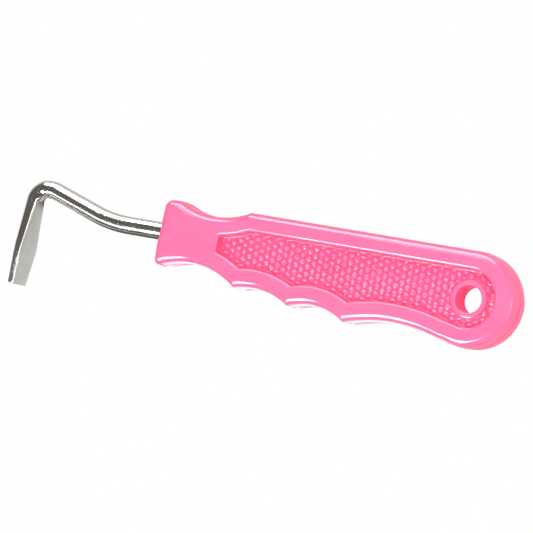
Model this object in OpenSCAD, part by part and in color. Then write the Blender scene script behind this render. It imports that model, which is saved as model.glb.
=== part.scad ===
// Hoof pick: a one-piece steel pick whose tang is moulded into a plastic handle.
// It lies flat. X runs from the blade to the butt, Y to the straight top edge of the handle,
// Z up out of a broad face. The origin is the middle of the box that it fills, at its lowest face.

/* [Handle] */
// Length of the handle from its ferrule face to its butt
handle_l = 124.1; // [115:0.1:130]
// Thickness of the handle between its broad faces
handle_t = 12.6; // [12:0.1:16]
// Height of the straight top edge above the tang's axis
top_y = 10.5; // [9:0.1:12]
// Radius of the round butt
butt_r = 15.15; // [13:0.05:16]
// Size of the bevel round both broad faces
edge = 1.8; // [0.6:0.2:2.4]
// Diameter of the hang hole
hang_d = 8.6; // [6:0.1:10]
// Distance from the hang hole's centre to the butt's end
hang_inset = 15.4; // [11:0.1:17]

/* [Finger grooves] */
// Radius of the dip behind the ferrule in the top edge
dip_r = 26.6; // [22:0.1:32]
// Place of that dip along the handle, and the height of its lowest point
dip_at = [18.2, 7.45]; // [0:0.05:40]
// Radii of the four grooves in the lower edge, from the ferrule to the butt
groove_r = [27, 24.5, 20, 52]; // [18:0.5:60]
// Places of the grooves along the handle
groove_x = [13.1, 36.1, 57.2, 85.4]; // [10:0.1:90]
// Depths of the grooves' crowns below the tang's axis
groove_y = [8.8, 13.3, 15.3, 16.2]; // [7:0.1:20]

/* [Grip panels] */
// Width of the smooth rim round each grip panel
rim_w = 5.5; // [4:0.1:7]
// Distance from the ferrule face to the panels' narrow end
panel_x = 20.9; // [15:0.5:30]
// Depth of the panels, from the broad face down to the stud tips
panel_depth = 2.2; // [1.4:0.1:2.4]
// Length and width of one diamond stud
stud = [4.1, 2.38]; // [2:0.01:6]
// Centre of one stud, from which the others are set out
stud_at = [85.7, -3.3]; // [-10:0.1:100]
// Height of a stud
stud_h = 0.6; // [0.3:0.05:0.8]
// Width of the smooth ring round the hang hole
ring_w = 1.6; // [1:0.1:2.5]

/* [Steel pick] */
// Diameter of the steel rod
rod_d = 5.7; // [5:0.1:7]
// Length of the tang inside the handle
tang_l = 56; // [40:1:60]
// Straight rod between the ferrule and the first curve
neck_l = 13.3; // [5:0.1:25]
// Radius of the slow curve
rise_r = 42; // [30:1:60]
// Slope of the shank past that curve, in degrees
rise_a = 17.4; // [10:0.1:25]
// Straight length of the sloping shank
slope_l = 16.5; // [10:0.5:25]
// Radius of the sharp bend on the rod's centreline
bend_r = 5; // [4:0.1:8]
// Straight length at the top of that bend
crest_l = 1.4; // [0:0.1:3]
// Angle between the blade and a square to the handle, in degrees
blade_a = 4.4; // [0:0.1:10]
// Length of the blade from the bend to its tip
blade_l = 27.4; // [20:0.5:35]
// Distance from the bend down to the blade's widest place
flare_l = 15.5; // [10:0.5:20]
// Width of the blade where the bend ends, at its widest place and at its tip
blade_w = [7.6, 11.4, 8.9]; // [5:0.1:16]
// Thickness of the blade at the same three places
blade_t = [4.4, 2.5, 2.2]; // [1:0.1:5.5]

/* [Hidden] */
$fn = 96;

rod_r = rod_d / 2;
half_t = handle_t / 2;
over = 1;
// What the straight rod stands proud of the shank's first ring, which ends inside its end face.
shoulder = 0.03;
straight_r = rod_r + shoulder;
butt = [handle_l - butt_r, top_y - butt_r];
hang_drop = 0.1;
hang = [handle_l - hang_inset, butt[1] - hang_drop];
groove_count = len(groove_r);
// The blank's lower edge before the grooves are cut, a little above the butt's lowest point.
bar_rise = 0.9;
bar_low = 2 * butt_r - top_y - bar_rise;
core_t = handle_t - 2 * panel_depth;
// How far the stud cuts reach above the stud tips.
cut_lift = 0.01;
paddle = [9, 8.4, 3.4];

// Places along the steel's centreline, each from the one before it.
neck_end = [-neck_l, 0];
rise_end = neck_end + rise_r * [-sin(rise_a), 1 - cos(rise_a)];
slope_end = rise_end + slope_l * [-cos(rise_a), sin(rise_a)];
crest = slope_end + bend_r * [-sin(rise_a), 1 - cos(rise_a)];
bend_top = crest - [crest_l, 0];
bend_turn = 90 - blade_a;
bend_end = bend_top + bend_r * [-sin(bend_turn), cos(bend_turn) - 1];
blade_heading = 180 + bend_turn;
tip = bend_end + blade_l * dir(blade_heading);

// Sections of the forged part: [centreline point, heading, thickness, width, corners].
// Corners holds the squareness of the inner and the outer half, where 1 is an ellipse and
// a small number is close to a rectangle. The hammered inner side goes flat first.
sides = 24;
round_bar = [1, 1];
half_flat = [0.65, 0.9];
flat_bar = [0.22, 0.22];
shank_sections = concat(
    [for (i = [0:8]) let (a = rise_a * i / 8)
        [neck_end + rise_r * [-sin(a), 1 - cos(a)], 180 - a, rod_d, rod_d, round_bar]],
    [for (i = [0:3]) let (a = rise_a * (1 - i / 3))
        [crest + bend_r * [sin(a), cos(a) - 1], 180 - a, rod_d, rod_d, round_bar]],
    [for (i = [0:10]) let (b = bend_turn * i / 10, k = max(0, i - 2) / 8)
        [bend_top + bend_r * [-sin(b), cos(b) - 1], 180 + b,
         mix(rod_d, blade_t[0], k), mix(rod_d, blade_w[0], k), mix(round_bar, half_flat, k)]],
    [for (i = [1:5]) let (k = i / 5)
        [bend_end + k * flare_l * dir(blade_heading), blade_heading,
         mix(blade_t[0], blade_t[1], k), mix(blade_w[0], blade_w[1], k),
         mix(half_flat, flat_bar, k)]],
    [[tip, blade_heading, blade_t[2], blade_w[2], flat_bar]]
);

// The box that the whole pick fills, which sets where the origin is.
shank_points = [for (s = shank_sections) each section_points(s)];
box_x = [min([for (p = shank_points) p[0]]), handle_l];
box_y = [min([for (p = shank_points) p[1]]), top_y];
middle = [(box_x[0] + box_x[1]) / 2, (box_y[0] + box_y[1]) / 2];

function dir(a) = [cos(a), sin(a)];
function mix(a, b, k) = a + (b - a) * k;
function power(v, p) = sign(v) * pow(abs(v), p);

// The rim of one section. Its inner side stays rod_r from the centreline, so only the back thins.
function section_points(s) = [
    for (i = [0:sides - 1])
        let (
            a = 360 * i / sides,
            corner = cos(a) > 0 ? s[4][0] : s[4][1],
            inward = rod_r - s[2] / 2 * (1 - power(cos(a), corner)),
            at = s[0] + inward * dir(s[1] + 90)
        )
        [at[0], at[1], s[3] / 2 * power(sin(a), corner)]
];

module in_frame() {
    translate([-middle[0], -middle[1], half_t]) children();
}

// A bar along X with the bevel on its four long edges.
module bevelled_bar(x0, x1, y0, y1) {
    translate([x0, 0, 0])
        rotate([90, 0, 90])
            linear_extrude(x1 - x0)
                polygon([
                    [y0 + edge, -half_t], [y1 - edge, -half_t],
                    [y1, edge - half_t], [y1, half_t - edge],
                    [y1 - edge, half_t], [y0 + edge, half_t],
                    [y0, half_t - edge], [y0, edge - half_t]
                ]);
}

// The handle seen from its top edge, with the bevel of the ferrule face.
module ferrule_bevel() {
    translate([0, 2 * butt_r, 0])
        rotate([90, 0, 0])
            linear_extrude(4 * butt_r)
                polygon([
                    [0, edge - half_t], [edge, -half_t], [handle_l, -half_t],
                    [handle_l, half_t], [edge, half_t], [0, half_t - edge]
                ]);
}

// Cuts a round groove of radius r into an edge and bevels what is left.
module groove_cutter(r) {
    reach = edge + over;
    rotate_extrude()
        polygon([
            [0, -half_t - over], [r + reach, -half_t - over],
            [r, edge - half_t], [r, half_t - edge],
            [r + reach, half_t + over], [0, half_t + over]
        ]);
}

module butt_disc() {
    translate([butt[0], butt[1], 0])
        rotate_extrude()
            polygon([
                [0, -half_t], [butt_r - edge, -half_t], [butt_r, edge - half_t],
                [butt_r, half_t - edge], [butt_r - edge, half_t], [0, half_t]
            ]);
}

// Centres of the round grooves and of the dip. Each crown lies one radius from its centre.
function groove_centre(i) = [groove_x[i], -groove_y[i] - groove_r[i]];
dip_centre = [dip_at[0], dip_at[1] + dip_r];

module handle_blank() {
    difference() {
        intersection() {
            bevelled_bar(0, butt[0], -bar_low, top_y);
            ferrule_bevel();
        }
        translate([dip_centre[0], dip_centre[1], 0]) groove_cutter(dip_r);
        for (i = [0:groove_count - 1])
            translate([groove_centre(i)[0], groove_centre(i)[1], 0]) groove_cutter(groove_r[i]);
    }
    butt_disc();
}

// Outline of a grip panel: the handle's own outline, moved in by the rim.
module panel_outline() {
    difference() {
        translate([panel_x, -bar_low + rim_w])
            square([butt[0] - panel_x, top_y + bar_low - 2 * rim_w]);
        translate(dip_centre) circle(dip_r + rim_w);
        for (i = [0:groove_count - 1])
            translate(groove_centre(i)) circle(groove_r[i] + rim_w);
    }
    translate(butt) circle(butt_r - rim_w);
}

// The space above one panel's stud tips.
module panel_space() {
    translate([0, 0, core_t / 2]) linear_extrude(panel_depth + over) panel_outline();
}

// Two sets of crossing V grooves cut a floor into diamond studs, one of them at stud_at.
module stud_cuts() {
    across = atan2(stud[1], stud[0]);
    pitch = stud[0] * sin(across);
    reach = 2 * (stud_at[0] - panel_x);
    count = ceil((reach / 2 * sin(across) + butt_r * cos(across)) / pitch);
    for (side = [-1, 1])
        translate([stud_at[0], stud_at[1], core_t / 2])
            rotate([0, 0, side * across])
                for (k = [-count:count - 1])
                    translate([0, (k + 0.5) * pitch, 0])
                        rotate([90, 0, 90])
                            linear_extrude(reach + 2 * butt_r, center = true)
                                polygon([
                                    [-pitch / 2, cut_lift], [0, -stud_h], [pitch / 2, cut_lift]
                                ]);
}

module panel_studs() {
    intersection() {
        stud_cuts();
        difference() {
            linear_extrude(half_t) panel_outline();
            translate([hang[0], hang[1], -over]) cylinder(h = handle_t, d = hang_d + 2 * ring_w);
        }
    }
}

// The rod inside the handle, with a flattened end that keeps it from pulling out or turning.
module tang() {
    rotate([0, 90, 0]) cylinder(h = tang_l, r = straight_r);
    translate([tang_l - paddle[0], -paddle[1] / 2, -paddle[2] / 2]) cube(paddle);
}

module neck() {
    translate([-neck_l, 0, 0]) rotate([0, 90, 0]) cylinder(h = neck_l, r = straight_r);
}

// The curved shank and the blade, as one skin through the sections.
module forged_shank() {
    rings = len(shank_sections);
    polyhedron(
        shank_points,
        concat(
            [[for (i = [0:sides - 1]) i]],
            [for (r = [0:rings - 2], i = [0:sides - 1])
                let (a = r * sides + i, b = r * sides + (i + 1) % sides)
                each [[a, a + sides, b + sides], [a, b + sides, b]]],
            [[for (i = [0:sides - 1]) rings * sides - 1 - i]]
        )
    );
}

module steel_pick() {
    color("silver")
        in_frame() {
            tang();
            neck();
            forged_shank();
        }
}

module handle() {
    color("hotpink")
        in_frame()
            difference() {
                handle_blank();
                for (side = [0, 1]) mirror([0, 0, side]) {
                    panel_space();
                    panel_studs();
                }
                translate([hang[0], hang[1], -half_t - over])
                    cylinder(h = handle_t + 2 * over, d = hang_d);
                tang();
            }
}

steel_pick();
handle();
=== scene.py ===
import math

import bmesh
import bpy
import numpy as np
from mathutils import Matrix, Vector, geometry, noise


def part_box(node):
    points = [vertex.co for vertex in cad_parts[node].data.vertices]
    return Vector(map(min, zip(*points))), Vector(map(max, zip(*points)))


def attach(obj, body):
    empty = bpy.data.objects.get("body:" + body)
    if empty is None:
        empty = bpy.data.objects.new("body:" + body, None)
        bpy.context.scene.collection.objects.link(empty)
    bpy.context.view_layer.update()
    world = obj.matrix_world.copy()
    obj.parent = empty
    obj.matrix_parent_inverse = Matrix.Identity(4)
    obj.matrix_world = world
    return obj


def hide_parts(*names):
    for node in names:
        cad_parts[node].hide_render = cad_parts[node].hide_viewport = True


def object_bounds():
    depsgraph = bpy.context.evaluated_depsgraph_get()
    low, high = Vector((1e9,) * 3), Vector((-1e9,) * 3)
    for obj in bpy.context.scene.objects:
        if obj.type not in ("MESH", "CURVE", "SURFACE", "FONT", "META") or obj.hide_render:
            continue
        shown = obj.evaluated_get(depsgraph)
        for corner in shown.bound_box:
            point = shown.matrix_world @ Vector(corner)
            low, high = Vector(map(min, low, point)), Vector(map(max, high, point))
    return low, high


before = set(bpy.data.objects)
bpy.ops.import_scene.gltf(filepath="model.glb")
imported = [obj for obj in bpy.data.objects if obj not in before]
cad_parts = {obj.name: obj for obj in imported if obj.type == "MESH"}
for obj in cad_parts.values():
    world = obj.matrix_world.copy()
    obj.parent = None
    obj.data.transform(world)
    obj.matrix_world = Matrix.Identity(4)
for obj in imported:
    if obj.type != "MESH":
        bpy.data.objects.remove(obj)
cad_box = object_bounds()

# A hoof pick: a plated steel pick moulded into a pink plastic handle.
# Shapes are worked out in millimetres in the handle's own frame: x runs from the ferrule face
# to the butt, the tang lies along y = 0, and z = 0 is the parting plane of the mould.

# ---------------------------------------------------------------- sizes, in millimetres
HANDLE_L = 124.1
TOP_Y = 10.5                          # the straight top edge, above the tang's axis
BUTT_R = 15.15
HANG_R = 4.3
HANG_INSET = 15.4                     # from the butt's end to the hang hole's axis
HANG_DROP = 0.1                       # how far that axis lies below the butt's centre
DIP_R = 26.6                          # the dip that is scooped into the top edge
DIP_AT = (18.2, 7.45)                 # its lowest place
GROOVE_R = (27.0, 24.5, 20.0, 52.0)   # the grooves in the lower edge
GROOVE_X = (13.1, 36.1, 57.2, 85.4)   # where each is deepest
GROOVE_Y = (8.8, 13.3, 15.3, 16.2)    # how far that place lies below the tang's axis
RIM_W = 5.5                           # from the handle's outline to the panel's
PANEL_X = 20.9                        # the panel's end by the ferrule
PANEL_DEPTH = 2.2                     # from the broad face down to the studs' tips
STUD = (4.1, 2.38)                    # a stud's diagonals
STUD_AT = (85.7, -3.3)                # the middle of one stud
STUD_H = 0.6
RING_W = 1.6                          # the flat ring round the hang hole
ROD_R = 2.85
TANG_L = 56.0
PADDLE = (9.0, 8.4, 3.4)              # the tang's flattened end: length, width, thickness
NECK_L = 13.3                         # the straight rod outside the ferrule
RISE_R = 42.0                         # the slow curve upward
RISE_A = math.radians(17.4)
SLOPE_L = 16.5
BEND_R = 5.0                          # the sharp bend into the blade
CREST_L = 1.4
BLADE_A = math.radians(4.4)           # how far the blade leans from square
BLADE_L = 27.4
FLARE_L = 15.5                        # from the bend to the blade's widest place
BLADE_W = (7.6, 11.4, 8.9)            # at the bend, at the widest place, at the tip
BLADE_T = (4.4, 2.5, 2.2)
BLADE_BEVEL = 0.25

# Mould details that the CAD model leaves plain.
CROWN_R = 150.0                       # the ferrule's face bulges a little
EDGE_R = (2.9, 2.1)                   # along the straight top edge, along the grooves
EDGE_BLEND = (-6, 2)                  # between these heights one becomes the other
DRAFT = math.tan(math.radians(1.5))
BEAD_H = 0.1                          # how far the parting line stands out
BEAD_ROUND = 0.02
BEAD_Z = (0.14, 0.24)                 # where its side starts to turn in, and where it ends
RIM_R = 0.9                           # the rounded rim of the panel
RIM_LIP = 0.3                         # how far outside the panel's outline it starts
WALL_LEAN = math.radians(9)
WALL_FOOT = 0.35                      # height of the fillet at the wall's foot
FOOT_STEPS = (0.12, 0.2)              # how far in its two steps reach
FACE_MARGIN = 0.15                    # a flat strip beside each rounded edge
RING_SKIRT = (0.3, 0.1)               # the slope round the ring: its reach, its lower edge
RING_BEVEL = (0.15, 0.08)
MOUTH_R = 0.4                         # the rounded mouth of the hang hole
BORE_DRAFT = 0.04
STUD_FOOT = 0.88                      # where a stud ends, as a share of its cell
STUD_RINGS = (0.2, 0.4, 0.65, STUD_FOOT)
STUD_GAP = (0.3, 0.15)                # plain floor left at the wall, at the ring

# The frame gives the scale and the place of the handle's own origin.
low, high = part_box("handle")
MM = (high.x - low.x) / HANDLE_L
HALF_T = (high.z - low.z) / 2 / MM
ORIGIN = Vector((low.x, high.y - TOP_Y * MM, (low.z + high.z) / 2))
STUD_Z = HALF_T - PANEL_DEPTH
VALLEY_Z = STUD_Z - STUD_H
BUTT = np.array([HANDLE_L - BUTT_R, TOP_Y - BUTT_R])
HANG = np.array([HANDLE_L - HANG_INSET, BUTT[1] - HANG_DROP])


def to_frame(x, y, z):
    """A place in the handle's own frame, in millimetres, as a place in the shared frame."""
    return ORIGIN + Vector((x, y, z)) * MM


def unit(v):
    return v / np.linalg.norm(v)


def turned(angle):
    """The direction at an angle from x."""
    return np.array([math.cos(angle), math.sin(angle)])


def smooth(value, low_end, high_end):
    """0 up to one end and 1 past the other, with an S-curve between them."""
    k = max(0.0, min(1.0, (value - low_end) / (high_end - low_end)))
    return k * k * (3 - 2 * k)


# ---------------------------------------------------------------- outlines
# A side of an outline is a straight line with its outward normal, or a circle. Each side can be
# moved inward by a depth.
def straight(point, outward):
    return {"kind": "line", "at": np.array(point, float), "out": np.array(outward, float)}


def circle(centre, radius, bulge):
    """A round side, which bulges out or, if bulge is False, is scooped in."""
    return {"kind": "circle", "at": np.array(centre, float), "r": radius, "bulge": bulge}


def radius_at(side, depth):
    return side["r"] - depth if side["bulge"] else side["r"] + depth


def nearest(side, depth, point):
    """The point of a side, moved in by depth, that is nearest to a point."""
    if side["kind"] == "line":
        return point - ((point - side["at"]) @ side["out"] + depth) * side["out"]
    return side["at"] + unit(point - side["at"]) * radius_at(side, depth)


def crossing(a, b, depth, towards):
    """Where two sides, moved in by depth, meet. Of two places it takes the one further towards."""
    if a["kind"] == "circle" and b["kind"] == "line":
        a, b = b, a
    if b["kind"] == "line":
        reaches = np.array([a["at"] @ a["out"] - depth, b["at"] @ b["out"] - depth])
        return np.linalg.solve(np.array([a["out"], b["out"]]), reaches)
    r = radius_at(b, depth)
    if a["kind"] == "line":
        foot = nearest(a, depth, b["at"])
        along = np.array([-a["out"][1], a["out"][0]])
        half = math.sqrt(max(r * r - (foot - b["at"]) @ (foot - b["at"]), 0))
    else:
        gap = b["at"] - a["at"]
        span = np.linalg.norm(gap)
        ra = radius_at(a, depth)
        reach = (span * span + ra * ra - r * r) / (2 * span)
        foot = a["at"] + gap / span * reach
        along = np.array([-gap[1], gap[0]]) / span
        half = math.sqrt(max(ra * ra - reach * reach, 0))
    return max((foot + along * half, foot - along * half), key=lambda p: p @ towards)


def arc(centre, start, end, count, bulge=True):
    """count steps from start to end round a centre, both ends included."""
    a, b = start - centre, end - centre
    first, last = math.atan2(a[1], a[0]), math.atan2(b[1], b[0])
    full = 2 * math.pi
    sweep = (last - first) % full if bulge else -((first - last) % full)
    r = np.linalg.norm(a)
    return [centre + r * turned(first + sweep * i / count) for i in range(count + 1)]


CORNER_STEPS = 8


def loop(outline, depth, rounding):
    """The outline moved in by depth, as points. Every depth gives the same number of points."""
    joins = []
    for i, (side, _, corner, towards) in enumerate(outline):
        following = outline[(i + 1) % len(outline)][0]
        if corner == 0:
            line, ball = (side, following) if side["kind"] == "line" else (following, side)
            touch = nearest(line, depth, ball["at"])
            joins.append([touch])
            continue
        r = rounding(corner, depth)
        centre = crossing(side, following, depth + r, np.array(towards, float))
        start, end = nearest(side, depth, centre), nearest(following, depth, centre)
        joins.append(arc(centre, start, end, CORNER_STEPS))
    points = []
    for i, (side, steps, _, _) in enumerate(outline):
        start, end = joins[i - 1][-1], joins[i][0]
        if side["kind"] == "line":
            inner = [start + (end - start) * k / steps for k in range(1, steps)]
        else:
            inner = arc(side["at"], start, end, steps, side["bulge"])[1:-1]
        points += inner + joins[i]
    return np.array(points)


top = straight((0, TOP_Y), (0, 1))
butt = circle(BUTT, BUTT_R, True)
dip = circle((DIP_AT[0], DIP_AT[1] + DIP_R), DIP_R, False)
grooves = [circle((x, -y - r), r, False) for x, y, r in zip(GROOVE_X, GROOVE_Y, GROOVE_R)]
face = circle((CROWN_R, 0), CROWN_R, True)
panel_end = straight((PANEL_X - RIM_W, 0), (-1, 0))

# The last groove runs into the butt along the line that touches both circles.
span = BUTT - grooves[3]["at"]
lean = math.acos((GROOVE_R[3] + BUTT_R) / np.linalg.norm(span))
tail_out = -turned(math.atan2(span[1], span[0]) + lean)
tail = straight(BUTT + tail_out * BUTT_R, tail_out)

# Each entry is a side, its steps, and the corner to the next side: its radius, where 0 means that
# the two sides touch smoothly, and the direction that picks one of two crossings.
UP = (0, 1)
DOWN = (0, -1)
LEFT = (-1, 0)
RIGHT = (1, 0)
CORNER_TOP = 3.0
CORNER_LOW = 1.8
RIDGE = 1.2
SOFT = 5.0
PANEL_CORNER = 0.9
PANEL_END_CORNER = 1.8
LEAST_CORNER = 0.35
LEAST_PANEL_CORNER = 0.4
handle_outline = [
    (butt, 48, 0, None),
    (top, 40, RIDGE, RIGHT),
    (dip, 24, SOFT, LEFT),
    (top, 2, CORNER_TOP, LEFT),
    (face, 16, CORNER_LOW, UP),
    (grooves[0], 22, RIDGE, UP),
    (grooves[1], 20, RIDGE, UP),
    (grooves[2], 18, RIDGE, UP),
    (grooves[3], 28, 0, None),
    (tail, 8, 0, None),
]
panel_outline = [
    (butt, 36, 0, None),
    (top, 40, PANEL_CORNER, RIGHT),
    (dip, 12, PANEL_END_CORNER, DOWN),
    (panel_end, 6, PANEL_END_CORNER, UP),
    (grooves[0], 8, PANEL_CORNER, UP),
    (grooves[1], 20, PANEL_CORNER, UP),
    (grooves[2], 18, PANEL_CORNER, UP),
    (grooves[3], 28, 0, None),
    (tail, 8, 0, None),
]


def outer_rounding(corner, depth):
    return max(corner - depth, LEAST_CORNER)


def panel_rounding(corner, depth):
    return max(corner - max(depth - RIM_W, 0), LEAST_PANEL_CORNER)


def outer(depth):
    return loop(handle_outline, depth, outer_rounding)


def inner(depth):
    return loop(panel_outline, depth, panel_rounding)


# ---------------------------------------------------------------- the studded floor
def stud_cell(x, y):
    """How far a place is from its stud's middle, where 1 is the border with the next studs."""
    s = (x - STUD_AT[0]) / STUD[0] + (y - STUD_AT[1]) / STUD[1]
    t = (x - STUD_AT[0]) / STUD[0] - (y - STUD_AT[1]) / STUD[1]
    return 2 * max(abs(s - round(s)), abs(t - round(t)))


def stud_height(x, y):
    """Height of the floor: diamonds with round tips, and narrow valleys between them."""
    away = min(1.0, stud_cell(x, y) / STUD_FOOT)
    return VALLEY_Z + STUD_H * (1 + math.cos(math.pi * away)) / 2


def inside(polygon, points):
    """Whether each point lies in a polygon, by counting the edges that a ray crosses."""
    px, py = points[:, 0][:, None], points[:, 1][:, None]
    ax, ay = polygon[:, 0], polygon[:, 1]
    bx, by = np.roll(ax, -1), np.roll(ay, -1)
    spans = (ay > py) != (by > py)
    rise = np.where(by == ay, 1, by - ay)
    hits = spans & (px < (bx - ax) * (py - ay) / rise + ax)
    return hits.sum(1) % 2 == 1


SHORTEST_CUT = 0.02


def cut_to(segments, region, hole):
    """The parts of each segment that lie in a region and out of a hole."""
    kept = []
    for p, q in segments:
        cuts = [0.0, 1.0]
        for polygon in (region, hole):
            a, b = polygon, np.roll(polygon, -1, axis=0)
            d, e = q - p, b - a
            cross = d[0] * e[:, 1] - d[1] * e[:, 0]
            ok = np.abs(cross) > 1e-12
            w = a - p
            safe = np.where(ok, cross, 1)
            t = (w[:, 0] * e[:, 1] - w[:, 1] * e[:, 0]) / safe
            s = (w[:, 0] * d[1] - w[:, 1] * d[0]) / safe
            cuts += list(t[ok & (t > 0) & (t < 1) & (s >= 0) & (s <= 1)])
        cuts = sorted(cuts)
        for t0, t1 in zip(cuts, cuts[1:]):
            middle = (p + (q - p) * (t0 + t1) / 2)[None]
            if t1 - t0 > SHORTEST_CUT and inside(region, middle)[0] and not inside(hole, middle)[0]:
                kept.append((p + (q - p) * t0, p + (q - p) * t1))
    return kept


def stud_lines(region):
    """The lines of every stud near a region: its border, diamonds within it, and its corners."""
    lo, hi = region.min(0) - STUD[0], region.max(0) + STUD[0]
    reach = int((hi[0] - lo[0]) / STUD[1])
    marks = (0, *STUD_RINGS, 1)
    corners = [np.array([math.cos(k * math.pi / 2) * STUD[0] / 2,
                         math.sin(k * math.pi / 2) * STUD[1] / 2]) for k in range(4)]
    lines = []
    for i in range(-reach, reach):
        for j in range(-reach, reach):
            at = np.array([STUD_AT[0] + (i + j) * STUD[0] / 2, STUD_AT[1] + (i - j) * STUD[1] / 2])
            if (at < lo).any() or (at > hi).any():
                continue
            for k in range(4):
                a, b = corners[k], corners[(k + 1) % 4]
                lines += [(at + a * m, at + b * m) for m in STUD_RINGS]
                lines += [(at + a * m, at + a * n) for m, n in zip(marks, marks[1:])]
                if k < 2:
                    # The other two borders are drawn by the next studs.
                    lines.append((at + a, at + b))
    return lines


# ---------------------------------------------------------------- meshes
class Sheet:
    """Gathers vertices and faces of half of the handle."""

    def __init__(self):
        self.points = []
        self.faces = []

    def ring(self, flat, z):
        """Adds a ring of points, at one height or at a height each."""
        first = len(self.points)
        heights = np.broadcast_to(z, len(flat))
        self.points += [(p[0], p[1], h) for p, h in zip(flat, heights)]
        return list(range(first, first + len(flat)))

    def plan(self, ring):
        """A ring's points, seen from above."""
        return np.array([self.points[i][:2] for i in ring])

    def bridge(self, a, b):
        """Joins two rings with a band of quads."""
        n = len(a)
        for i in range(n):
            j = (i + 1) % n
            self.faces.append((a[i], a[j], b[j], b[i]))

    def fill(self, outer, inner, lines, height):
        """Triangles between an outer ring and inner rings, with creases along the given lines."""
        coords, edges, known, seen = [], [], [], {}
        for ring in [outer, *inner]:
            first = len(coords)
            coords += [Vector(self.points[i][:2]) for i in ring]
            known += ring
            edges += [(first + i, first + (i + 1) % len(ring)) for i in range(len(ring))]
        for line in lines:
            pair = []
            for p in line:
                key = (round(p[0], 3), round(p[1], 3))
                if key not in seen:
                    seen[key] = len(coords)
                    coords.append(Vector((p[0], p[1])))
                    known.append(None)
                pair.append(seen[key])
            if pair[0] != pair[1]:
                edges.append(tuple(pair))
        verts, _, tris, origin, _, _ = geometry.delaunay_2d_cdt(coords, edges, [], 0, 1e-5, True)
        index = []
        for v, source in zip(verts, origin):
            old = [known[i] for i in source if known[i] is not None]
            if old:
                index.append(old[0])
            else:
                index.append(len(self.points))
                self.points.append((v[0], v[1], height(v[0], v[1])))
        centres = np.array([sum((verts[i] for i in t), Vector((0, 0))) / 3 for t in tris])
        keep = inside(self.plan(outer), centres)
        for ring in inner:
            keep &= ~inside(self.plan(ring), centres)
        self.faces += [tuple(index[i] for i in t) for t, k in zip(tris, keep) if k]


def circle_points(centre, radius, count):
    return np.array([centre + radius * turned(2 * math.pi * i / count) for i in range(count)])


def segments_of(polygon):
    return list(zip(polygon, np.roll(polygon, -1, axis=0)))


def edge_profile(edge_r):
    """Depths and heights from the parting line's bead up the drafted side and over the edge."""
    land = HALF_T - edge_r
    start = BEAD_Z[1]
    side_steps = 3
    edge_steps = 10
    profile = [(0, 0), (BEAD_ROUND, BEAD_Z[0]), (BEAD_H, start)]
    for k in range(1, side_steps):
        rise = (land - start) * k / side_steps
        profile.append((BEAD_H + (land * k / side_steps) * DRAFT, start + rise))
    side = BEAD_H + land * DRAFT
    for k in range(edge_steps + 1):
        a = math.pi / 2 * k / edge_steps
        profile.append((side + edge_r * (1 - math.cos(a)), land + edge_r * math.sin(a)))
    return profile + [(side + edge_r + FACE_MARGIN, HALF_T)]


def add_rings(half, rings):
    for a, b in zip(rings, rings[1:]):
        half.bridge(a, b)


def add_outside(half):
    """The side and the edge, which is rounder along the straight top edge than along the grooves."""
    high = np.array([smooth(y, *EDGE_BLEND) for y in outer(0)[:, 1]])
    rings = []
    for (d_high, z_high), (d_low, z_low) in zip(*(edge_profile(r) for r in EDGE_R)):
        flat = outer(d_high) * high[:, None] + outer(d_low) * (1 - high[:, None])
        rings.append(half.ring(flat, z_high * high + z_low * (1 - high)))
    add_rings(half, rings)
    return rings


def wall_profile():
    """Depths and heights over the panel's rim, down its leaning wall and round the wall's foot."""
    lip = RIM_W - RIM_LIP
    rim_steps = 6
    profile = [(lip - FACE_MARGIN, HALF_T)]
    for k in range(rim_steps + 1):
        a = (math.pi / 2 - WALL_LEAN) * k / rim_steps
        profile.append((lip + RIM_R * math.sin(a), HALF_T - RIM_R + RIM_R * math.cos(a)))
    wall_d, wall_z = profile[-1]
    drop = wall_z - VALLEY_Z - WALL_FOOT
    near, far = FOOT_STEPS
    profile.append((wall_d + drop * math.tan(WALL_LEAN), VALLEY_Z + WALL_FOOT))
    profile.append((profile[-1][0] + near, VALLEY_Z + near))
    profile.append((profile[-1][0] + far, VALLEY_Z))
    return profile


CIRCLE_STEPS = 72
RING_R = HANG_R + RING_W


def add_hang_ring(half):
    """The ring round the hang hole, its rounded mouth and the bore."""
    reach, toe = RING_SKIRT
    inset, drop = RING_BEVEL
    mouth_steps = 5
    profile = [(RING_R + reach, VALLEY_Z + toe), (RING_R, STUD_Z - drop), (RING_R - inset, STUD_Z)]
    for k in range(mouth_steps + 1):
        a = math.pi / 2 * k / mouth_steps
        profile.append((HANG_R + MOUTH_R - MOUTH_R * math.sin(a),
                        STUD_Z - MOUTH_R + MOUTH_R * math.cos(a)))
    profile.append((HANG_R - BORE_DRAFT, 0))
    rings = [half.ring(circle_points(HANG, r, CIRCLE_STEPS), z) for r, z in profile]
    add_rings(half, rings)
    return rings


def half_handle():
    """The handle's upper half, from the parting plane up."""
    half = Sheet()
    outside = add_outside(half)
    profile = wall_profile()
    wall = [half.ring(inner(d), z) for d, z in profile]
    add_rings(half, wall)
    half.fill(outside[-1], [wall[0]], [], lambda x, y: HALF_T)
    hole = add_hang_ring(half)

    # The studs are cut off just inside the wall's foot and just outside the ring.
    wall_gap, ring_gap = STUD_GAP
    region = inner(profile[-1][0] + wall_gap)
    hollow = circle_points(HANG, RING_R + RING_SKIRT[0] + ring_gap, CIRCLE_STEPS)
    lines = cut_to(stud_lines(region), region, hollow)
    lines += segments_of(region) + segments_of(hollow)
    half.fill(wall[-1], [hole[0]], lines, stud_height)
    return half


def mesh_object(name, points, faces):
    mesh = bpy.data.meshes.new(name)
    mesh.from_pydata([to_frame(*p) for p in points], [], faces)
    mesh.update()
    piece = bpy.data.objects.new(name, mesh)
    bpy.context.scene.collection.objects.link(piece)
    return piece


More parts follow.
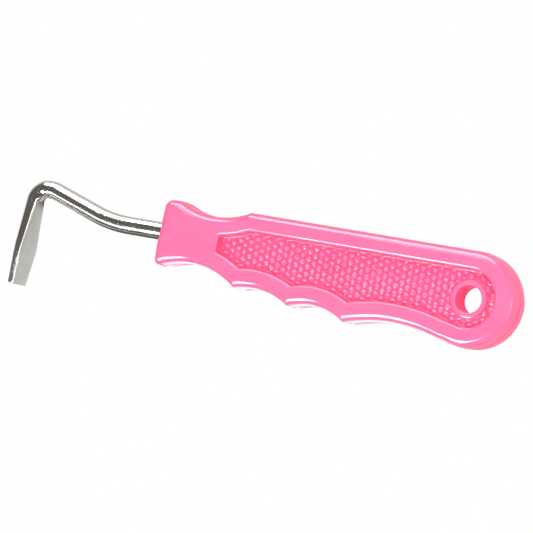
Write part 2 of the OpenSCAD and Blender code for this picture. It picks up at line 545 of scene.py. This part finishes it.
# Doubles closer than a weld are joined, and edges sharper than an angle in degrees stay creases.
WELD = 0.004
FINE_WELD = 0.002
PLASTIC_CREASE = 50
STEEL_CREASE = 38


def clean(piece, merge, sharp):
    """Welds doubles and drops slivers, turns all faces outward and shades smooth up to an angle."""
    work = bmesh.new()
    work.from_mesh(piece.data)
    bmesh.ops.remove_doubles(work, verts=work.verts, dist=merge * MM)
    bmesh.ops.dissolve_degenerate(work, edges=work.edges, dist=merge * MM / 10)
    bmesh.ops.recalc_face_normals(work, faces=work.faces)
    work.to_mesh(piece.data)
    work.free()
    piece.data.polygons.foreach_set("use_smooth", [True] * len(piece.data.polygons))
    piece.data.set_sharp_from_angle(angle=math.radians(sharp))
    piece.data.update()


def subtract(piece, cutter):
    """Cuts one mesh out of another for good."""
    step = piece.modifiers.new("cut", "BOOLEAN")
    step.operation = "DIFFERENCE"
    step.solver = "EXACT"
    step.object = cutter
    bpy.context.view_layer.update()
    evaluated = piece.evaluated_get(bpy.context.evaluated_depsgraph_get())
    mesh = bpy.data.meshes.new_from_object(evaluated)
    piece.modifiers.clear()
    old = piece.data
    piece.data = mesh
    bpy.data.meshes.remove(old)
    bpy.data.objects.remove(cutter)


# ---------------------------------------------------------------- the steel
# A section's corners are two powers, for its inner and its outer side: 1 is round, less is squarer.
SIDES = 64
ROUND = (1.0, 1.0)
HALF_FLAT = (0.65, 0.9)
FLAT = (0.22, 0.22)
STEPS = {"neck": 13, "rise": 24, "slope": 12, "crest": 8, "bend": 36, "flare": 24, "blade": 16}
FLATTEN_FROM = 0.2                    # how far round the bend the rod starts to flatten
NECK_START = -0.2                     # a hair outside the ferrule's face


def mix(a, b, k):
    """From a to b by the share k, for a number or for each of a tuple."""
    if isinstance(a, tuple):
        return tuple(p + (q - p) * k for p, q in zip(a, b))
    return a + (b - a) * k


def power(v, p):
    """A power of a number's size, with its sign kept."""
    return math.copysign(abs(v) ** p, v)


def shares(name):
    """The shares 1/n ... 1 of a stretch of steel with n steps."""
    return [i / STEPS[name] for i in range(1, STEPS[name] + 1)]


def stations():
    """Sections along the forged steel: (centre, heading, thickness, width, corners)."""
    rod = 2 * ROD_R
    found = []

    def add(at, heading, thick=rod, width=rod, corners=ROUND):
        found.append((at, heading, thick, width, corners))

    for x in np.linspace(NECK_START, -NECK_L, STEPS["neck"] + 1)[:-1]:
        add(np.array([x, 0]), math.pi)
    neck_end = np.array([-NECK_L, 0])
    for k in [0, *shares("rise")]:
        a = RISE_A * k
        add(neck_end + RISE_R * np.array([-math.sin(a), 1 - math.cos(a)]), math.pi - a)
    rise_end = found[-1][0]
    slope = np.array([-math.cos(RISE_A), math.sin(RISE_A)])
    for k in shares("slope")[:-1]:
        add(rise_end + slope * SLOPE_L * k, math.pi - RISE_A)
    slope_end = rise_end + slope * SLOPE_L
    crest = slope_end + BEND_R * np.array([-math.sin(RISE_A), 1 - math.cos(RISE_A)])
    for k in [0, *shares("crest")]:
        a = RISE_A * (1 - k)
        add(crest + BEND_R * np.array([math.sin(a), math.cos(a) - 1]), math.pi - a)
    bend_top = crest - np.array([CREST_L, 0])
    turn = math.pi / 2 - BLADE_A
    for along in [0, *shares("bend")]:
        b = turn * along
        k = max(0, along - FLATTEN_FROM) / (1 - FLATTEN_FROM)
        at = bend_top + BEND_R * np.array([-math.sin(b), math.cos(b) - 1])
        add(at, math.pi + b, mix(rod, BLADE_T[0], k), mix(rod, BLADE_W[0], k), mix(ROUND, HALF_FLAT, k))
    bend_end = found[-1][0]
    heading = math.pi + turn
    down = turned(heading)
    for k in shares("flare"):
        add(bend_end + down * FLARE_L * k, heading, mix(BLADE_T[0], BLADE_T[1], k),
            mix(BLADE_W[0], BLADE_W[1], k), mix(HALF_FLAT, FLAT, k))
    rest = BLADE_L - FLARE_L
    for share in shares("blade"):
        k = share * (1 - BLADE_BEVEL / rest)
        add(bend_end + down * (FLARE_L + rest * k), heading, mix(BLADE_T[1], BLADE_T[2], k),
            mix(BLADE_W[1], BLADE_W[2], k), FLAT)
    add(bend_end + down * BLADE_L, heading, BLADE_T[2] - 2 * BLADE_BEVEL,
        BLADE_W[2] - 2 * BLADE_BEVEL, FLAT)
    return found


def section(station):
    """The points of one section, whose inner side stays where the rod's inner side would be."""
    at, heading, thick, width, corners = station
    inward_way = turned(heading + math.pi / 2)
    points = []
    for i in range(SIDES):
        a = 2 * math.pi * i / SIDES
        corner = corners[0] if math.cos(a) > 0 else corners[1]
        inward = ROD_R - thick / 2 * (1 - power(math.cos(a), corner))
        spot = at + inward * inward_way
        points.append((spot[0], spot[1], width / 2 * power(math.sin(a), corner)))
    return points


TURN = np.linspace(0, 2 * math.pi, SIDES, endpoint=False)
PADDLE_CHAMFER = 0.3
PADDLE_CORNER = 0.3
PADDLE_TAPER = 1                      # half the length over which the paddle becomes the rod
ROUND_AT = (40, 30, 20, 10, 3, 1)     # where the round part of the tang has its sections


def tang_sections():
    """Sections of the part inside the handle, from its flattened end to the ferrule."""
    length, wide, thin = PADDLE
    ends = [(TANG_L, wide - 2 * PADDLE_CHAMFER, thin - 2 * PADDLE_CHAMFER),
            (TANG_L - PADDLE_CHAMFER, wide, thin),
            (TANG_L - length + PADDLE_TAPER, wide, thin)]
    # A section's first point is on the inner side, which is -y on the straight rod.
    found = []
    for x, tall, flat in ends:
        found.append([(x, -tall / 2 * power(math.cos(a), PADDLE_CORNER),
                       flat / 2 * power(math.sin(a), PADDLE_CORNER)) for a in TURN])
    for x in (TANG_L - length - PADDLE_TAPER, *ROUND_AT):
        found.append([(x, -ROD_R * math.cos(a), ROD_R * math.sin(a)) for a in TURN])
    return found


def skin(rings):
    """Points and faces of a closed skin over rings of points, with flat ends."""
    points = [p for ring in rings for p in ring]
    n = len(rings[0])
    faces = [tuple(range(n))[::-1]]
    for r in range(len(rings) - 1):
        for i in range(n):
            a, b = r * n + i, r * n + (i + 1) % n
            faces.append((a, b, b + n, a + n))
    last = (len(rings) - 1) * n
    faces.append(tuple(last + i for i in range(n)))
    return points, faces


SOCKET_SLACK = 0.02
SOCKET_SCALE = 1.007
MOUTH_FLARE = 0.35                    # how much wider the socket is at the ferrule's face
MOUTH_X = (0.35, -0.1, -2)            # where the flare starts, is full, and is clear of the face


def socket_cutter():
    """The tang's shape a hair larger, with a small flare at the ferrule's mouth."""
    rings = []
    for ring in tang_sections():
        rings.append([(p[0] + (SOCKET_SLACK if p[0] == TANG_L else 0),
                       p[1] * SOCKET_SCALE, p[2] * SOCKET_SCALE) for p in ring])
    radii = (ROD_R + SOCKET_SLACK, ROD_R + MOUTH_FLARE, ROD_R + MOUTH_FLARE)
    for x, r in zip(MOUTH_X, radii):
        rings.append([(x, -r * math.cos(a), r * math.sin(a)) for a in TURN])
    return mesh_object("socket", *skin(rings))


# Wear: a little everywhere, more towards the tip, and marks with a place, a radius and a depth.
WEAR_LEAST = 0.012
WEAR_ROD = 0.006
WEAR_BLADE = 0.04
NICK = (Vector((-49.4, -13.6, 5.2)), 1.5, 0.45)
SCUFF = (Vector((-23.5, -0.6, 1.6)), 6.5, 0.10)
DENT = (Vector((-44.0, 2.6, 1.2)), 2.2, 0.30)


def near_mark(spot, mark):
    """From 0 at the rim of a mark to 1 at its middle, times the mark's depth."""
    place, radius, depth = mark
    return depth * smooth(radius - (spot - place).length, 0, radius)


def wear(spot):
    """How far a place on the bent steel is worn in."""
    rough = max(0.0, noise.fractal(spot * 0.55, 1.0, 2.0, 3))
    depth = WEAR_LEAST + (WEAR_ROD + WEAR_BLADE * smooth(-spot.y, 6, 20)) * rough
    depth += near_mark(spot, NICK)
    depth += near_mark(spot, SCUFF) * max(0.0, noise.noise(spot * 1.7))
    depth += near_mark(spot, DENT) * (0.4 + max(0.0, noise.noise(spot * 2.2)))
    return depth


SATIN_FROM = (-3.2, -1.6)             # how far down the blade the satin flat starts
GRAIN_FROM = (11.5, 14.5)             # how far down the sheared edges start


def mark_finish(steel):
    """Stores where the blade is satin from forging, and where its edges are grained by shearing."""
    flat_way = Vector((*turned(-BLADE_A), 0))
    satin = steel.data.attributes.new("satin", "FLOAT", "POINT")
    grain = steel.data.attributes.new("grain", "FLOAT", "POINT")
    for v in steel.data.vertices:
        x, y, z = (v.co - ORIGIN) / MM
        faces_in = smooth(v.normal.dot(flat_way), 0.7, 0.95)
        faces_side = smooth(abs(v.normal.z), 0.5, 0.8)
        bent = x < -NECK_L
        satin.data[v.index].value = faces_in * smooth(-y, *SATIN_FROM) if bent else 0
        grain.data[v.index].value = faces_side * smooth(-y, *GRAIN_FROM) if bent else 0


def build_steel():
    """The steel in one skin: the plain tang, then the worn rod and blade."""
    rings = tang_sections()
    for station in stations():
        centre = Vector((*station[0], 0))
        ring = []
        for point in section(station):
            spot = Vector(point)
            ring.append(tuple(spot + (centre - spot).normalized() * wear(spot)))
        rings.append(ring)
    steel = mesh_object("steel_pick_forged", *skin(rings))
    clean(steel, FINE_WELD, STEEL_CREASE)
    mark_finish(steel)
    return steel


def paint_hollow_shade(handle):
    """Stores how deep a place lies in the panels or the hang hole: 0 on faces and stud tips. The material
    paints shade with it.
    """
    hollow = handle.data.attributes.new("hollow", "FLOAT", "POINT")
    spots = np.array([(v.co - ORIGIN) / MM for v in handle.data.vertices])
    in_panel = inside(inner(RIM_W - RIM_LIP), spots[:, :2])
    for v, (x, y, z), within in zip(handle.data.vertices, spots, in_panel):
        steep = smooth(0.85 - abs(v.normal.z), 0, 0.4) * smooth(HALF_T - abs(z), 0.3, 1.2)
        valley = smooth(STUD_Z - abs(z), 0.05 * STUD_H, 0.9 * STUD_H)
        hollow.data[v.index].value = max(steep, valley) if within else 0


def build_handle():
    """Two halves, one the mirror of the other, with the tang's socket cut out."""
    half = half_handle()
    count = len(half.points)
    points = half.points + [(x, y, -z) for x, y, z in half.points]
    faces = half.faces + [tuple(i + count for i in reversed(f)) for f in half.faces]
    handle = mesh_object("handle_moulded", points, faces)
    clean(handle, WELD, PLASTIC_CREASE)
    subtract(handle, socket_cutter())
    clean(handle, FINE_WELD, PLASTIC_CREASE)
    # A mask for the painted shade in the panels' valleys and walls and in the bore.
    paint_hollow_shade(handle)
    return handle


handle = build_handle()
steel = build_steel()

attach(handle, "root")
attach(steel, "root")
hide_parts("handle")
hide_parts("steel_pick")


# ---------------------------------------------------------------- materials
def new_material(name):
    material = bpy.data.materials.new(name)
    material.use_nodes = True
    tree = material.node_tree
    return material, tree, tree.nodes["Principled BSDF"]


def noise_at(tree, scale, detail, roughness=0.5, stretch=(1, 1, 1)):
    """A noise pattern in the object's own space, with features of about 1 / scale metres."""
    where = tree.nodes.new("ShaderNodeTexCoord")
    mapping = tree.nodes.new("ShaderNodeMapping")
    mapping.inputs["Scale"].default_value = stretch
    pattern = tree.nodes.new("ShaderNodeTexNoise")
    pattern.inputs["Scale"].default_value = scale
    pattern.inputs["Detail"].default_value = detail
    pattern.inputs["Roughness"].default_value = roughness
    tree.links.new(where.outputs["Object"], mapping.inputs["Vector"])
    tree.links.new(mapping.outputs["Vector"], pattern.inputs["Vector"])
    return pattern.outputs["Fac"]


def ramp(tree, factor, stops):
    """A colour ramp through (place, colour) stops."""
    node = tree.nodes.new("ShaderNodeValToRGB")
    elements = node.color_ramp.elements
    for i, (place, colour) in enumerate(stops):
        e = elements[i] if i < 2 else elements.new(place)
        e.position = place
        e.color = (*colour, 1)
    tree.links.new(factor, node.inputs["Fac"])
    return node.outputs["Color"]


def span_of(tree, factor, low_in, high_in, low_out, high_out):
    node = tree.nodes.new("ShaderNodeMapRange")
    for name, value in (("From Min", low_in), ("From Max", high_in),
                        ("To Min", low_out), ("To Max", high_out)):
        node.inputs[name].default_value = value
    tree.links.new(factor, node.inputs["Value"])
    return node.outputs["Result"]


def add_bump(tree, shader, heights):
    """Stacks bumps, each (pattern, strength, depth in metres)."""
    normal = None
    for pattern, strength, depth in heights:
        node = tree.nodes.new("ShaderNodeBump")
        node.inputs["Strength"].default_value = strength
        node.inputs["Distance"].default_value = depth
        tree.links.new(pattern, node.inputs["Height"])
        if normal is not None:
            tree.links.new(normal, node.inputs["Normal"])
        normal = node.outputs["Normal"]
    tree.links.new(normal, shader.inputs["Normal"])


def mask(tree, name):
    """A stored value of the mesh, from 0 to 1."""
    node = tree.nodes.new("ShaderNodeAttribute")
    node.attribute_name = name
    return node.outputs["Fac"]


def blend(tree, factor, a, b, kind="FLOAT"):
    """The input a where the factor is 0, b where it is 1."""
    node = tree.nodes.new("ShaderNodeMix")
    node.data_type = kind
    sockets = [i for i in node.inputs if i.enabled]
    tree.links.new(factor, sockets[0])
    tree.links.new(a, sockets[1])
    tree.links.new(b, sockets[2])
    return next(o for o in node.outputs if o.enabled)


def calculate(tree, operation, a, b=None):
    """A sum on outputs of other nodes. The second input may be a plain number, or left out."""
    node = tree.nodes.new("ShaderNodeMath")
    node.operation = operation
    tree.links.new(a, node.inputs[0])
    if isinstance(b, (int, float)):
        node.inputs[1].default_value = b
    elif b is not None:
        tree.links.new(b, node.inputs[1])
    return node.outputs[0]


# Colours and roughnesses, as the two ends of each one's cloudy variation.
PINK = ((0.93, 0.108, 0.235), (0.96, 0.122, 0.255))
# The darker pink is painted shade for the panels' valleys and walls and the hang hole's bore.
SHADED_PINK = ((0.93, 0.055, 0.162), (0.96, 0.063, 0.177))
PLATING = ((0.80, 0.79, 0.76), (0.90, 0.89, 0.87))
FORGED = ((0.84, 0.85, 0.78), (0.95, 0.96, 0.90))
GLOSSY = (0.06, 0.12)
POLISHED = (0.11, 0.19)
BRUSHED = (0.40, 0.55)
SHEARED = (0.11, 0.22)


def cloudy(tree, pattern, colours, dark_end=0.3, light_end=0.7):
    return ramp(tree, pattern, [(dark_end, colours[0]), (light_end, colours[1])])


def pink_plastic():
    """Glossy plastic with faint clouds of colour and gloss, and painted shade: a deeper pink in its
    hollows.
    """
    material, tree, shader = new_material("pink_plastic")
    flow = noise_at(tree, 45, 3, 0.5, (1, 3, 2))
    colour = cloudy(tree, flow, PINK)
    deep = cloudy(tree, flow, SHADED_PINK)
    # The hollow mask paints shade into the valleys and walls.
    shade = blend(tree, mask(tree, "hollow"), colour, deep, "RGBA")
    tree.links.new(shade, shader.inputs["Base Color"])
    gloss = noise_at(tree, 700, 4, 0.6)
    tree.links.new(span_of(tree, gloss, 0.3, 0.7, *GLOSSY), shader.inputs["Roughness"])
    shader.inputs["IOR"].default_value = 1.5
    shader.inputs["Subsurface Weight"].default_value = 0.12
    shader.inputs["Subsurface Radius"].default_value = (1.0, 0.25, 0.4)
    shader.inputs["Subsurface Scale"].default_value = 0.0012
    add_bump(tree, shader, [
        (noise_at(tree, 160, 2), 0.25, 0.00006),
        (noise_at(tree, 1500, 3), 0.12, 0.00002),
    ])
    return material


def plated_steel():
    """Bright plating on the bar, satin on the forged flat, and grain along the sheared edges."""
    material, tree, shader = new_material("plated_steel")
    satin, grain = mask(tree, "satin"), mask(tree, "grain")
    bright = cloudy(tree, noise_at(tree, 120, 4, 0.6), PLATING, light_end=0.75)
    dull = cloudy(tree, noise_at(tree, 260, 5, 0.6), FORGED)
    tree.links.new(blend(tree, satin, bright, dull, "RGBA"), shader.inputs["Base Color"])
    shader.inputs["Metallic"].default_value = 1.0
    fine = noise_at(tree, 1400, 5, 0.65)
    polished = span_of(tree, fine, 0.35, 0.75, *POLISHED)
    brushed = span_of(tree, fine, 0.3, 0.7, *BRUSHED)
    sheared = span_of(tree, fine, 0.3, 0.7, *SHEARED)
    rough = blend(tree, satin, blend(tree, grain, polished, sheared), brushed)
    tree.links.new(rough, shader.inputs["Roughness"])
    pits = span_of(tree, noise_at(tree, 420, 5, 0.7), 0.58, 0.72, 0, 1)
    add_bump(tree, shader, [
        (noise_at(tree, 90, 2), 0.15, 0.0001),
        (pits, 0.15, 0.00002),
        (calculate(tree, "MULTIPLY", satin, noise_at(tree, 1800, 4, 0.7)), 0.35, 0.00005),
        (calculate(tree, "MULTIPLY", grain, noise_at(tree, 1100, 4, 0.7)), 0.5, 0.00006),
    ])
    return material


handle.data.materials.clear()
handle.data.materials.append(pink_plastic())
steel.data.materials.append(plated_steel())


# ---------------------------------------------------------------- camera
def direction(azimuth, elevation):
    """The direction at two angles in degrees: round from x, and up from level."""
    a, e = math.radians(azimuth), math.radians(elevation)
    return Vector((math.cos(e) * math.cos(a), math.cos(e) * math.sin(a), math.sin(e)))


# The camera is far off, high up beyond the butt. It has a long lens, and it is rolled so that the
# pick lies across the picture.
CAMERA_AIM = (37.409, -5.385, 0)
CAMERA_DISTANCE = 1196.6
CAMERA_AZIMUTH = -4.496
CAMERA_ELEVATION = 64.248
CAMERA_ROLL = math.radians(75.110)
CAMERA_LENS = 256.66


def place_camera():
    back = direction(CAMERA_AZIMUTH, CAMERA_ELEVATION)
    level_up = (Vector((0, 0, 1)) - back * back.z).normalized()
    level_right = level_up.cross(back)
    up = level_up * math.cos(CAMERA_ROLL) + level_right * math.sin(CAMERA_ROLL)
    right = up.cross(back)
    lens = bpy.data.cameras.new("camera")
    lens.lens = CAMERA_LENS
    lens.sensor_width = 36
    lens.clip_start = 0.05
    lens.clip_end = 20
    camera = bpy.data.objects.new("camera", lens)
    bpy.context.scene.collection.objects.link(camera)
    place = to_frame(*CAMERA_AIM) + back * CAMERA_DISTANCE * MM
    turn = Matrix((right, up, back)).transposed()
    camera.matrix_world = Matrix.Translation(place) @ turn.to_4x4()
    return camera


bpy.context.scene.camera = place_camera()


# ---------------------------------------------------------------- stage and light, in metres
WHITE = (1, 1, 1)
CARD_WHITE = (1, 1, 0.97)
BOUNCE_PINK = (1.0, 0.27, 0.48)
STUDIO_GREY = (0.118, 0.106, 0.096, 1)
GROUND_W = 6
TABLE_LEVEL = 0.57
TABLE_Z = -0.0002
CARD_Z = 0.0001
BOUNCE_Z = 0.0002
BOUNCE_MARGIN = 0.15                  # in millimetres, past the handle's outline
HARD_EDGE = 0.02

middle = (cad_box[0] + cad_box[1]) / 2
ground = Vector((middle.x, middle.y, 0))


def plane(name, centre, facing, width, height):
    """A flat card that faces a direction."""
    mesh = bpy.data.meshes.new(name)
    w, h = width / 2, height / 2
    mesh.from_pydata([(-w, -h, 0), (w, -h, 0), (w, h, 0), (-w, h, 0)], [], [(0, 1, 2, 3)])
    card = bpy.data.objects.new(name, mesh)
    bpy.context.scene.collection.objects.link(card)
    turn = facing.to_track_quat("Z", "Y").to_matrix().to_4x4()
    card.matrix_world = Matrix.Translation(centre) @ turn
    return card


def glow(name, colour, strength, soft):
    """Emission on the front of a card, which fades out over the share soft of its half width."""
    material = bpy.data.materials.new(name)
    material.use_nodes = True
    tree = material.node_tree
    tree.nodes.clear()
    output = tree.nodes.new("ShaderNodeOutputMaterial")
    light = tree.nodes.new("ShaderNodeEmission")
    light.inputs["Color"].default_value = (*colour, 1)
    where = tree.nodes.new("ShaderNodeTexCoord")
    split = tree.nodes.new("ShaderNodeSeparateXYZ")
    tree.links.new(where.outputs["Generated"], split.inputs["Vector"])
    fades = []
    for axis in ("X", "Y"):
        away = calculate(tree, "SUBTRACT", split.outputs[axis], 0.5)
        away = calculate(tree, "ABSOLUTE", away)
        fades.append(span_of(tree, away, 0.5 * (1 - soft), 0.5, 1, 0))
    shape = calculate(tree, "MULTIPLY", *fades)
    level = calculate(tree, "MULTIPLY", shape, strength)
    tree.links.new(level, light.inputs["Strength"])
    tree.links.new(light.outputs[0], output.inputs["Surface"])
    return material


def softbox(name, toward, distance, width, height, strength, soft):
    """A glowing card that stands off from the pick in a direction, and which the camera can't see."""
    toward = Vector(toward).normalized()
    card = plane(name, middle + toward * distance, -toward, width, height)
    card.data.materials.append(glow(name, WHITE, strength, soft))
    card.visible_camera = False
    card.visible_shadow = False
    return card


def reflection_light(*measures):
    softbox(*measures).visible_diffuse = False


def even_light(*measures):
    softbox(*measures).visible_glossy = False


# Each light: its name, direction, distance, width, height, strength and softness.
reflection_light("key_light", (-0.29, -0.57, 0.78), 0.75, 0.30, 0.50, 28, 0.12)
reflection_light("back_light", (-0.20, 0.90, 0.33), 0.75, 0.80, 0.44, 10.0, 0.25)
reflection_light("back_high", (-0.22, 0.64, 0.73), 0.75, 0.27, 0.24, 6.0, 0.3)
reflection_light("steel_light", (-0.60, -0.53, 0.60), 0.75, 0.35, 0.26, 1.6, 0.1)
reflection_light("side_strip", (1.0, 0.0, 0.09), 0.8, 0.60, 0.09, 20.0, 0.3)
even_light("overhead", (-0.10, -0.10, 1.0), 0.8, 1.80, 1.80, 3.0, 0.4)
even_light("side_light", (0.85, 0.0, 0.38), 0.8, 0.60, 0.50, 12.0, 0.6)
even_light("back_fill", (0.0, 1.0, 0.15), 0.8, 1.2, 0.6, 3.6, 0.4)
even_light("front_fill", (0.0, -1.0, 0.15), 0.8, 1.2, 0.6, 2.2, 0.4)


def seen_by(card, camera=False, diffuse=False, glossy=False, shadow=False):
    """Which rays see a card."""
    card.visible_camera = camera
    card.visible_diffuse = diffuse
    card.visible_glossy = glossy
    card.visible_transmission = diffuse
    card.visible_shadow = shadow


def even_glow(name, level):
    """A matt black surface that gives off white light of its own."""
    material, _, shader = new_material(name)
    shader.inputs["Base Color"].default_value = (0, 0, 0, 1)
    shader.inputs["Roughness"].default_value = 0.9
    shader.inputs["Specular IOR Level"].default_value = 0.0
    shader.inputs["Emission Color"].default_value = (*WHITE, 1)
    shader.inputs["Emission Strength"].default_value = level
    return material


# The floor is what the camera sees, and pale walls stand far behind for views from the side.
# The table under the floor is what lights and reflects.
floor = plane("floor", ground, Vector((0, 0, 1)), GROUND_W, GROUND_W)
floor.data.materials.append(even_glow("pale_floor", 1.0))
seen_by(floor, camera=True)
for name, side in {"front": (0, -1, 0), "back": (0, 1, 0), "left": (-1, 0, 0), "right": (1, 0, 0)}.items():
    centre = ground + Vector(side) * (GROUND_W / 2)
    wall = plane("wall_" + name, centre, -Vector(side), GROUND_W, GROUND_W)
    wall.data.materials.append(floor.data.materials[0])
    seen_by(wall, camera=True)
table = plane("table", ground + Vector((0, 0, TABLE_Z)), Vector((0, 0, 1)), GROUND_W, GROUND_W)
table.data.materials.append(even_glow("grey_table", TABLE_LEVEL))
seen_by(table, diffuse=True, glossy=True, shadow=True)


def flat_card(name, x0, x1, y0, y1, level):
    """A glowing card that lies under the pick, which only reflections see. Sizes in millimetres."""
    centre = to_frame((x0 + x1) / 2, (y0 + y1) / 2, 0)
    centre.z = CARD_Z
    card = plane(name, centre, Vector((0, 0, 1)), (x1 - x0) * MM, (y1 - y0) * MM)
    card.data.materials.append(glow(name, CARD_WHITE, level, HARD_EDGE))
    seen_by(card, glossy=True)


def bounce_card():
    """The ground under the handle, pink with the light that the handle throws on it."""
    outline = outer(-BOUNCE_MARGIN)
    card = mesh_object("bounce_card", [(x, y, 0) for x, y in outline], [tuple(range(len(outline)))])
    card.location.z = BOUNCE_Z - ORIGIN.z
    card.data.materials.append(glow("bounce_card", BOUNCE_PINK, 1.0, HARD_EDGE))
    seen_by(card, glossy=True)


# The two dim cards are painted shade: sheets that only the steel's reflections see, in place of the floor
# shaded under the shank and the blade.
flat_card("painted_shade_card", -38, -1, -60, 1, 0.12)
flat_card("painted_shade_corner", -60, -38, 1, 9, 0.12)
flat_card("bright_card", -1, 98, -60, 2, 2.4)
bounce_card()

world = bpy.data.worlds.new("studio")
world.use_nodes = True
background = world.node_tree.nodes["Background"]
background.inputs["Color"].default_value = STUDIO_GREY
background.inputs["Strength"].default_value = 1.0
bpy.context.scene.world = world
bpy.context.scene.view_settings.view_transform = "Standard"
